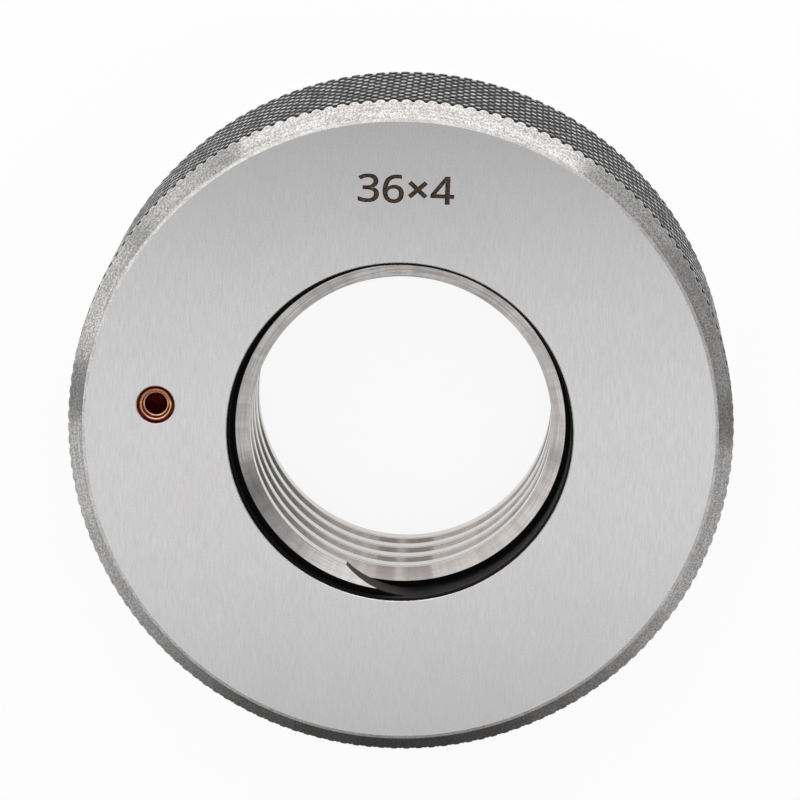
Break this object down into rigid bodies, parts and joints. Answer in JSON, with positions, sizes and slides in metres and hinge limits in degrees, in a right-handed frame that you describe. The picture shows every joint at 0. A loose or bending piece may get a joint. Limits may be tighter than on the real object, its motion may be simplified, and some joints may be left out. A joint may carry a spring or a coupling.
{
  "type": "thread ring gauge",
  "caption": "Hardened steel ring with a precision internal thread and a knurled rim, used to check the thread of a screw.",
  "frame": {"origin": "on the axis of the bore, at the back face that the ring lies on", "axes": "+Z along the axis of the bore, out of the marked face; +Y to the marking above the bore; -X to the eyelet"},
  "size_m": [0.071, 0.071, 0.024],
  "materials": {
    "gauge_steel": "ground faces, lapped thread and a dark knurled rim",
    "eyelet_copper": "bare copper, lightly tarnished"
  },
  "bodies": {
    "root": {"ring_body": "gauge_steel", "copper_eyelet": "eyelet_copper"}
  },
  "joints": []
}
